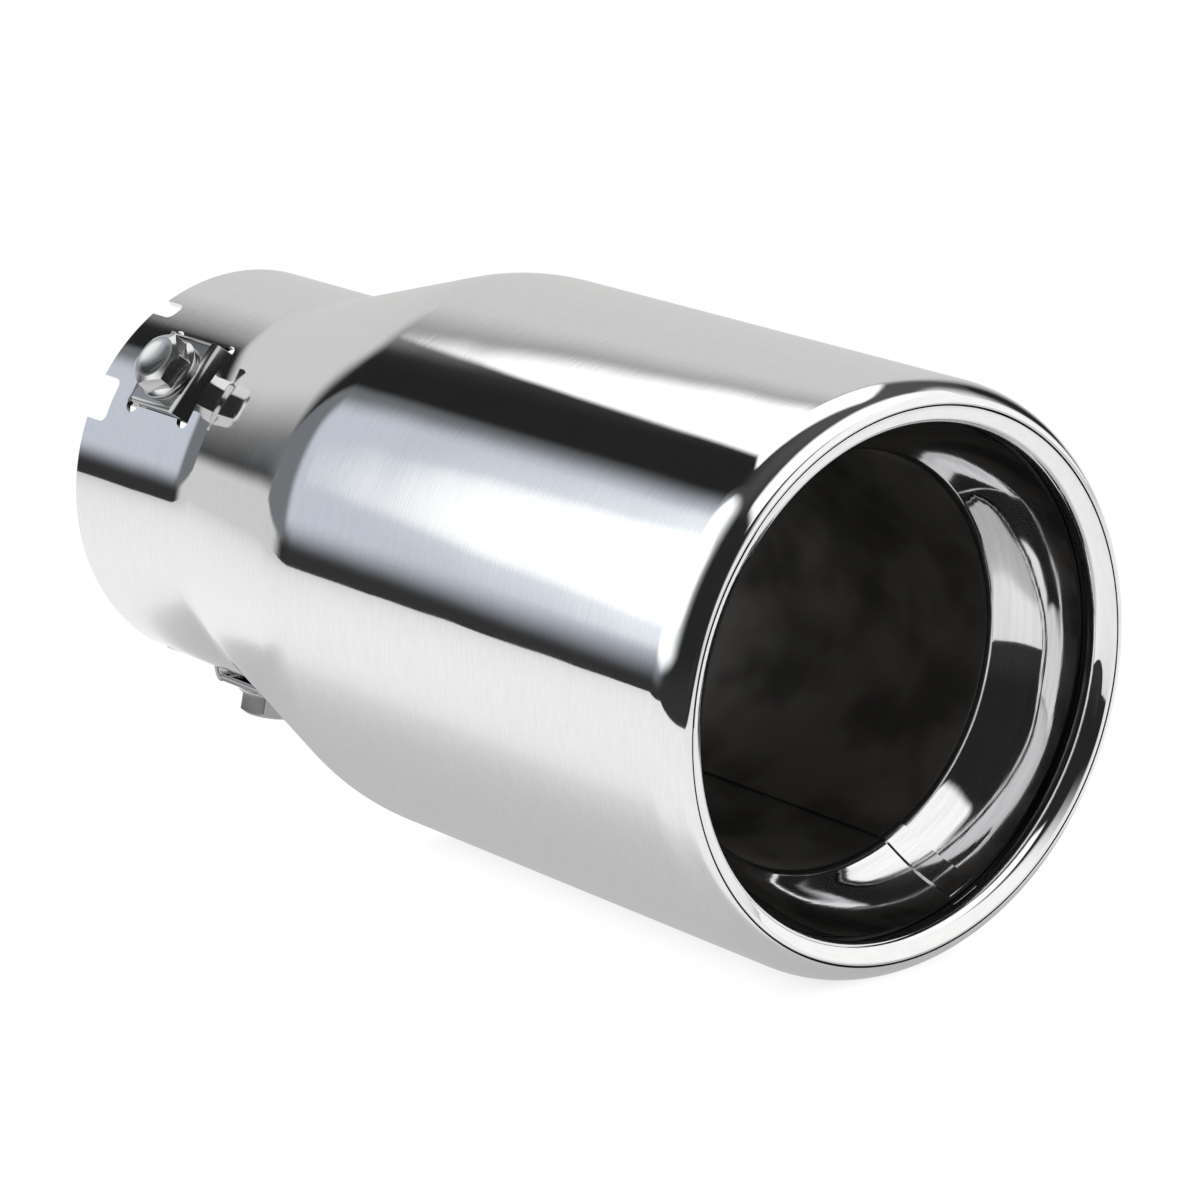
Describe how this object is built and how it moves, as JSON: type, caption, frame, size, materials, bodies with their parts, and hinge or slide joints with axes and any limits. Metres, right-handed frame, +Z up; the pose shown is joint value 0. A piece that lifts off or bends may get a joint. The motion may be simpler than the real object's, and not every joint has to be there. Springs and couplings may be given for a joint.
{
  "type": "exhaust tip",
  "caption": "Polished double-walled exhaust tip: a clamp-on inlet neck flares smoothly to a straight round barrel with a rolled lip and a coned liner inside.",
  "frame": {"origin": "centre of the inlet mouth, on the tip's axis at the rear rim", "axes": "+X along the tip's axis towards the lip, +Z up, the tip lying on its barrel"},
  "size_m": [0.1902, 0.102, 0.102],
  "materials": {
    "polished_shell": "mirror polished stainless steel with fine polishing lines round it",
    "liner_steel": "plain rolled stainless steel, semi bright",
    "tube_steel": "dull mill-finished stainless tube",
    "clamp_plate": "bright pressed stainless plate",
    "clamp_screw": "bright zinc plated"
  },
  "bodies": {
    "root": {"outer_shell": "polished_shell", "lip_ring": "polished_shell", "liner": "liner_steel", "inner_tube": "tube_steel", "clamp_bracket_1": "clamp_plate", "clamp_bracket_2": "clamp_plate", "clamp_bracket_3": "clamp_plate", "clamp_screw_1": "clamp_screw", "clamp_screw_2": "clamp_screw", "clamp_screw_3": "clamp_screw"}
  },
  "joints": []
}
